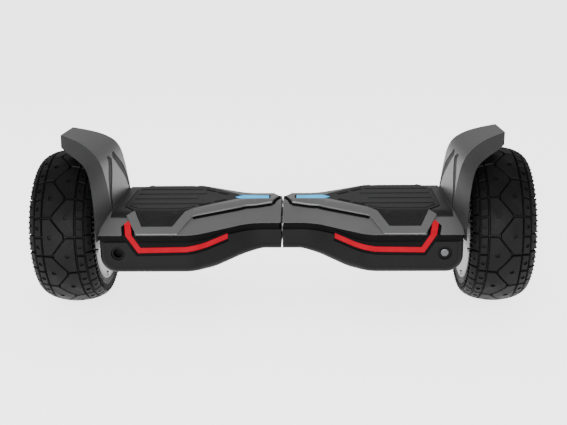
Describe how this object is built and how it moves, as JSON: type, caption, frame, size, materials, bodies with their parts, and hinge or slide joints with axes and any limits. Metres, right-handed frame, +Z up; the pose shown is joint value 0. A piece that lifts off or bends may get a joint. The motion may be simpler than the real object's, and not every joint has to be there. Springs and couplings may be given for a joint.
{
  "type": "self balancing board",
  "caption": "Off-road self balancing board: deck halves that twist on a centre pivot, each with a hub motor wheel, mudguard, pressure-sensing foot pad and light strips.",
  "frame": {"origin": "on the ground, midway between the two wheels", "axes": "+X towards the right wheel, +Y to the back, +Z up"},
  "size_m": [0.67, 0.236, 0.243],
  "materials": {
    "deck_shell": "satin dark metallic grey plastic",
    "lower_shell": "fine-textured black plastic",
    "belt_trim": "matte black plastic",
    "pad_frame": "satin dark metallic grey plastic",
    "deck_trim": "matte black plastic",
    "pad_rubber": "ribbed non-slip rubber",
    "red_light": "red translucent, lit",
    "light_bezel": "black plastic",
    "blue_light": "cyan translucent, lit",
    "fender_shell": "satin dark metallic grey plastic",
    "fender_inlay": "matte black plastic",
    "tyre": "off-road tread",
    "rim": "cast and machined",
    "motor_cover": "cast and machined",
    "screws": "zinc plated",
    "magnets": "nickel plated",
    "lamination": "stacked sheet steel",
    "copper": "enamelled copper wire",
    "axle_steel": "turned steel",
    "bearing_steel": "ground steel",
    "chassis_metal": "die cast",
    "clamp_steel": "steel cap and socket screws",
    "black_screws": "black oxide",
    "circuit_board": "green solder mask",
    "bush_bronze": "sintered bronze",
    "battery_wrap": "blue heat-shrink film",
    "port_plastic": "black plastic",
    "button_metal": "polished metal",
    "speaker_black": "black basket and cone",
    "cable_black": "sheathed cable"
  },
  "bodies": {
    "left_half": {"top_cover_left": "deck_shell", "bottom_cover_left": "lower_shell", "belt_trim_left": "belt_trim", "pad_frame_left": "pad_frame", "deck_trim_left": "deck_trim", "light_lenses_left": "red_light", "light_bezels_left": "light_bezel", "indicator_lens_left": "blue_light", "fender_left": "fender_shell", "fender_inlay_left": "fender_inlay", "stator_core_left": "lamination", "windings_left": "copper", "axle_left": "axle_steel", "bearing_inner_rings_left": "bearing_steel", "chassis_left": "chassis_metal", "axle_clamp_left": "clamp_steel", "case_screws_left": "black_screws", "sensor_board_left": "circuit_board", "pivot_bushes": "bush_bronze", "battery_pack": "battery_wrap", "charge_port": "port_plastic"},
    "right_half": {"top_cover_right": "deck_shell", "bottom_cover_right": "lower_shell", "belt_trim_right": "belt_trim", "pad_frame_right": "pad_frame", "deck_trim_right": "deck_trim", "light_lenses_right": "red_light", "light_bezels_right": "light_bezel", "indicator_lens_right": "blue_light", "fender_right": "fender_shell", "fender_inlay_right": "fender_inlay", "stator_core_right": "lamination", "windings_right": "copper", "axle_right": "axle_steel", "bearing_inner_rings_right": "bearing_steel", "chassis_right": "chassis_metal", "axle_clamp_right": "clamp_steel", "case_screws_right": "black_screws", "sensor_board_right": "circuit_board", "pivot_shaft": "axle_steel", "pivot_retainers": "screws", "main_board": "circuit_board", "button_switch": "port_plastic", "speaker": "speaker_black", "link_cable": "cable_black"},
    "left_wheel": {"tyre_left": "tyre", "rim_left": "rim", "motor_cover_left": "motor_cover", "motor_screws_left": "screws", "magnets_left": "magnets", "bearing_outer_rings_left": "bearing_steel"},
    "left_pad": {"foot_pad_left": "pad_rubber"},
    "right_wheel": {"tyre_right": "tyre", "rim_right": "rim", "motor_cover_right": "motor_cover", "motor_screws_right": "screws", "magnets_right": "magnets", "bearing_outer_rings_right": "bearing_steel"},
    "right_pad": {"foot_pad_right": "pad_rubber"},
    "power_button": {"power_button": "button_metal"}
  },
  "joints": [
    {"name": "pivot_twist", "type": "hinge", "parent": "left_half", "child": "right_half", "pos_m": [0, 0, 0.108], "axis": [1, 0, 0], "range_deg": [-12, 12]},
    {"name": "wheel_spin_left", "type": "hinge", "parent": "left_half", "child": "left_wheel", "pos_m": [-0.291, 0, 0.108], "axis": [1, 0, 0], "continuous": true},
    {"name": "wheel_spin_right", "type": "hinge", "parent": "right_half", "child": "right_wheel", "pos_m": [0.291, 0, 0.108], "axis": [1, 0, 0], "continuous": true},
    {"name": "foot_pad_press_left", "type": "slide", "parent": "left_half", "child": "left_pad", "axis": [0, 0, -1], "range_m": [0, 0.0012], "stiffness_N_per_m": 6000, "springref_m": -0.0012},
    {"name": "foot_pad_press_right", "type": "slide", "parent": "right_half", "child": "right_pad", "axis": [0, 0, -1], "range_m": [0, 0.0012], "stiffness_N_per_m": 6000, "springref_m": -0.0012},
    {"name": "power_button_press", "type": "slide", "parent": "right_half", "child": "power_button", "axis": [0, 1, 0], "range_m": [0, 0.0015], "stiffness_N_per_m": 600, "springref_m": -0.001}
  ]
}
